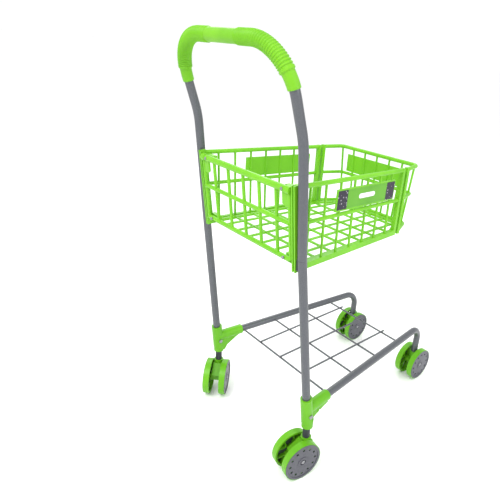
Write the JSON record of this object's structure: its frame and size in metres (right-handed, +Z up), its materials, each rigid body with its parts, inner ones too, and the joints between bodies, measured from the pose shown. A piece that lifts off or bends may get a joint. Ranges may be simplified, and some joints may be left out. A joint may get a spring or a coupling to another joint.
{
  "type": "child's shopping cart",
  "caption": "Small wheeled shopping cart: leaning tube frame with ribbed push handle, green slatted basket, low wire shelf, twin swivel casters behind and twin fixed wheels in front.",
  "frame": {"origin": "on the floor, under the middle of the bounding box", "axes": "+X forward, from the push handle to the front wheels; +Y to the cart's left; +Z up"},
  "size_m": [0.4686, 0.2908, 0.6317],
  "materials": {
    "tube_grey": "grey powder coat, slightly metallic",
    "basket_green": "bright green moulded plastic, satin gloss",
    "grip_green": "bright green soft plastic sleeve",
    "wheel_green": "bright green moulded plastic",
    "disc_grey": "mid grey moulded plastic",
    "dark_plastic": "dark grey plastic",
    "bright_steel": "zinc plated",
    "label_print": "printed film: green middle, dark ends, blank white oval"
  },
  "bodies": {
    "cart_frame": {"handle_tube": "tube_grey", "grip_middle": "grip_green", "shelf_long_wires": "tube_grey", "shelf_cross_wire_1": "tube_grey", "shelf_cross_wire_2": "tube_grey", "shelf_cross_wire_3": "tube_grey", "shelf_cross_wire_4": "tube_grey", "lower_upright_left": "tube_grey", "shelf_tube_left": "tube_grey", "grip_left": "grip_green", "connector_left": "wheel_green", "connector_rivet_left": "bright_steel", "basket_left_panel": "basket_green", "basket_spacer_left": "dark_plastic", "caster_stem_left": "dark_plastic", "front_housing_left": "wheel_green", "lower_upright_right": "tube_grey", "shelf_tube_right": "tube_grey", "grip_right": "grip_green", "connector_right": "wheel_green", "connector_rivet_right": "bright_steel", "basket_right_panel": "basket_green", "basket_spacer_right": "dark_plastic", "caster_stem_right": "dark_plastic", "front_housing_right": "wheel_green", "axle_front_left": "bright_steel", "axle_caps_front_left": "bright_steel", "axle_front_right": "bright_steel", "axle_caps_front_right": "bright_steel", "basket_rear_panel": "basket_green", "basket_front_panel": "basket_green", "basket_floor": "basket_green", "rear_panel_screws": "bright_steel", "label": "label_print"},
    "caster_left": {"caster_fork_left": "wheel_green", "axle_rear_left": "bright_steel", "axle_caps_rear_left": "bright_steel"},
    "caster_right": {"caster_fork_right": "wheel_green", "axle_rear_right": "bright_steel", "axle_caps_rear_right": "bright_steel"},
    "wheel_body_front_left_a": {"wheel_front_left_a": "wheel_green", "wheel_disc_front_left_a": "disc_grey"},
    "wheel_body_front_left_b": {"wheel_front_left_b": "wheel_green", "wheel_disc_front_left_b": "disc_grey"},
    "wheel_body_front_right_a": {"wheel_front_right_a": "wheel_green", "wheel_disc_front_right_a": "disc_grey"},
    "wheel_body_front_right_b": {"wheel_front_right_b": "wheel_green", "wheel_disc_front_right_b": "disc_grey"},
    "wheel_body_rear_left_a": {"wheel_rear_left_a": "wheel_green", "wheel_disc_rear_left_a": "disc_grey"},
    "wheel_body_rear_left_b": {"wheel_rear_left_b": "wheel_green", "wheel_disc_rear_left_b": "disc_grey"},
    "wheel_body_rear_right_a": {"wheel_rear_right_a": "wheel_green", "wheel_disc_rear_right_a": "disc_grey"},
    "wheel_body_rear_right_b": {"wheel_rear_right_b": "wheel_green", "wheel_disc_rear_right_b": "disc_grey"}
  },
  "joints": [
    {"name": "caster_swivel_left", "type": "hinge", "parent": "cart_frame", "child": "caster_left", "pos_m": [-0.14, 0.11992, 0.047], "axis": [0, 0, 1], "continuous": true},
    {"name": "caster_swivel_right", "type": "hinge", "parent": "cart_frame", "child": "caster_right", "pos_m": [-0.14, -0.1232, 0.047], "axis": [0, 0, 1], "continuous": true},
    {"name": "wheel_spin_front_left_a", "type": "hinge", "parent": "cart_frame", "child": "wheel_body_front_left_a", "pos_m": [0.20235, 0.08416, 0.032], "axis": [0, 1, 0], "continuous": true},
    {"name": "wheel_spin_front_left_b", "type": "hinge", "parent": "cart_frame", "child": "wheel_body_front_left_b", "pos_m": [0.20235, 0.08416, 0.032], "axis": [0, 1, 0], "continuous": true},
    {"name": "wheel_spin_front_right_a", "type": "hinge", "parent": "cart_frame", "child": "wheel_body_front_right_a", "pos_m": [0.20235, -0.08744, 0.032], "axis": [0, 1, 0], "continuous": true},
    {"name": "wheel_spin_front_right_b", "type": "hinge", "parent": "cart_frame", "child": "wheel_body_front_right_b", "pos_m": [0.20235, -0.08744, 0.032], "axis": [0, 1, 0], "continuous": true},
    {"name": "wheel_spin_rear_left_a", "type": "hinge", "parent": "caster_left", "child": "wheel_body_rear_left_a", "pos_m": [-0.15096, 0.10896, 0.032], "axis": [-0.7071, 0.7071, 0], "continuous": true},
    {"name": "wheel_spin_rear_left_b", "type": "hinge", "parent": "caster_left", "child": "wheel_body_rear_left_b", "pos_m": [-0.15096, 0.10896, 0.032], "axis": [-0.7071, 0.7071, 0], "continuous": true},
    {"name": "wheel_spin_rear_right_a", "type": "hinge", "parent": "caster_right", "child": "wheel_body_rear_right_a", "pos_m": [-0.15531, -0.12077, 0.032], "axis": [0.1564, 0.9877, 0], "continuous": true},
    {"name": "wheel_spin_rear_right_b", "type": "hinge", "parent": "caster_right", "child": "wheel_body_rear_right_b", "pos_m": [-0.15531, -0.12077, 0.032], "axis": [0.1564, 0.9877, 0], "continuous": true}
  ]
}
